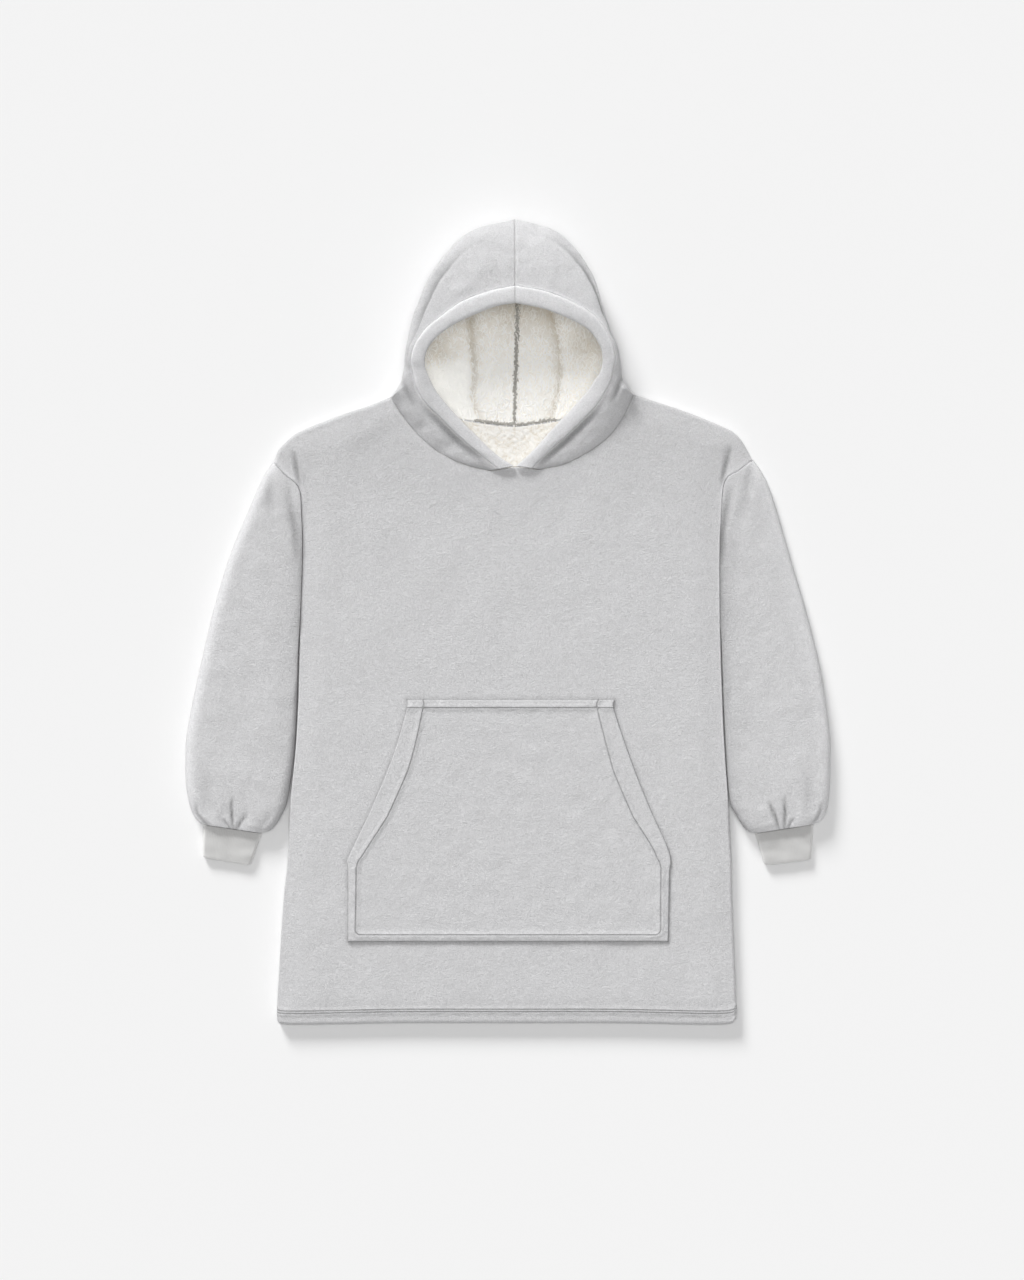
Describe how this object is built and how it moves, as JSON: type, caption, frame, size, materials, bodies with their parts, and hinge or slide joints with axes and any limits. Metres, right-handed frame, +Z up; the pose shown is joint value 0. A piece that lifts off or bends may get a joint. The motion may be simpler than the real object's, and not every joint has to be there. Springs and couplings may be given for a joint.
{
  "type": "wearable blanket hoodie",
  "caption": "Oversized wearable blanket hoodie in plush flannel with a sherpa lining, kangaroo pocket, rib cuffs and an open hood, laid flat on its back.",
  "frame": {"origin": "on the surface that the garment lies on, under the middle of its outline", "axes": "+Y from the hem to the hood, +Z up out of the front panel, +X to the right as seen from above"},
  "size_m": [0.914, 1.1402, 0.0767],
  "materials": {
    "flannel": "plush flannel fleece, matt, with a short soft nap",
    "rib": "fine rib knit, matt",
    "sherpa": "curly sherpa pile, matt"
  },
  "bodies": {
    "root": {"body_back": "flannel", "body_front": "flannel", "lining_back": "sherpa", "pocket": "flannel", "sleeve_left": "flannel", "sleeve_right": "flannel", "cuff_left": "rib", "cuff_right": "rib", "hood_left": "flannel", "hood_right": "flannel", "hood_lining_left": "sherpa", "hood_lining_right": "sherpa", "hood_rim_left": "flannel", "hood_rim_right": "flannel"}
  },
  "joints": []
}
